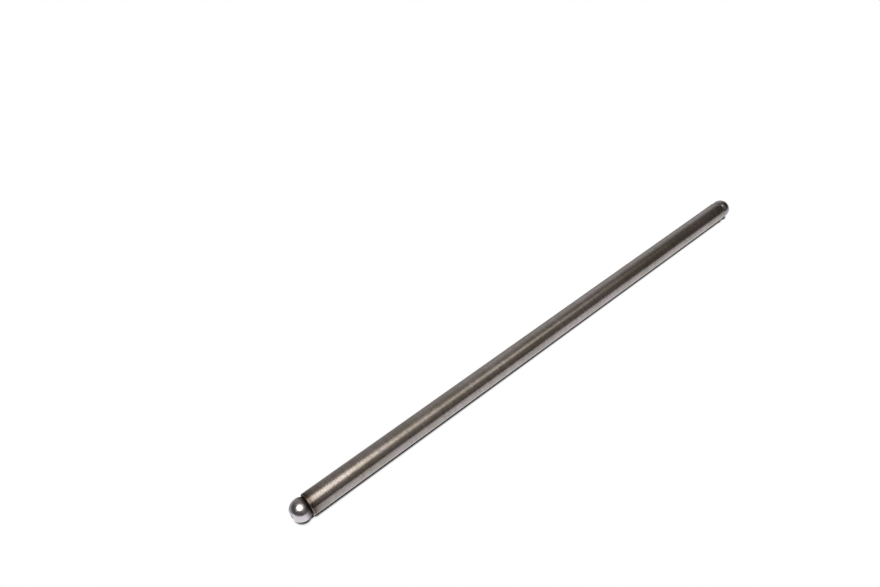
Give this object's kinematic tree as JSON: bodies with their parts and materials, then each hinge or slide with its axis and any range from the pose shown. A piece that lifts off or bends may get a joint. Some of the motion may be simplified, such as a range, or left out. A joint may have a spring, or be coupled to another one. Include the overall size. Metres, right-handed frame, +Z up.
{
  "type": "engine pushrod",
  "caption": "Hollow steel engine pushrod: straight tube with a ground ball end pressed into each end, each with a tip flat and oil hole; carries the lifter's motion to the rocker arm.",
  "frame": {"origin": "middle of the rod, on the axis of the tube", "axes": "+X along the rod from the lifter end to the rocker end, +Z up as the rod lies on a table"},
  "size_m": [0.231, 0.008, 0.008],
  "materials": {
    "tube_steel": "centreless-ground and heat-treated, dull brownish grey satin",
    "ball_steel": "hardened and ground, bright neutral grey"
  },
  "bodies": {
    "root": {"tube": "tube_steel", "lifter_ball_end": "ball_steel", "rocker_ball_end": "ball_steel"}
  },
  "joints": []
}
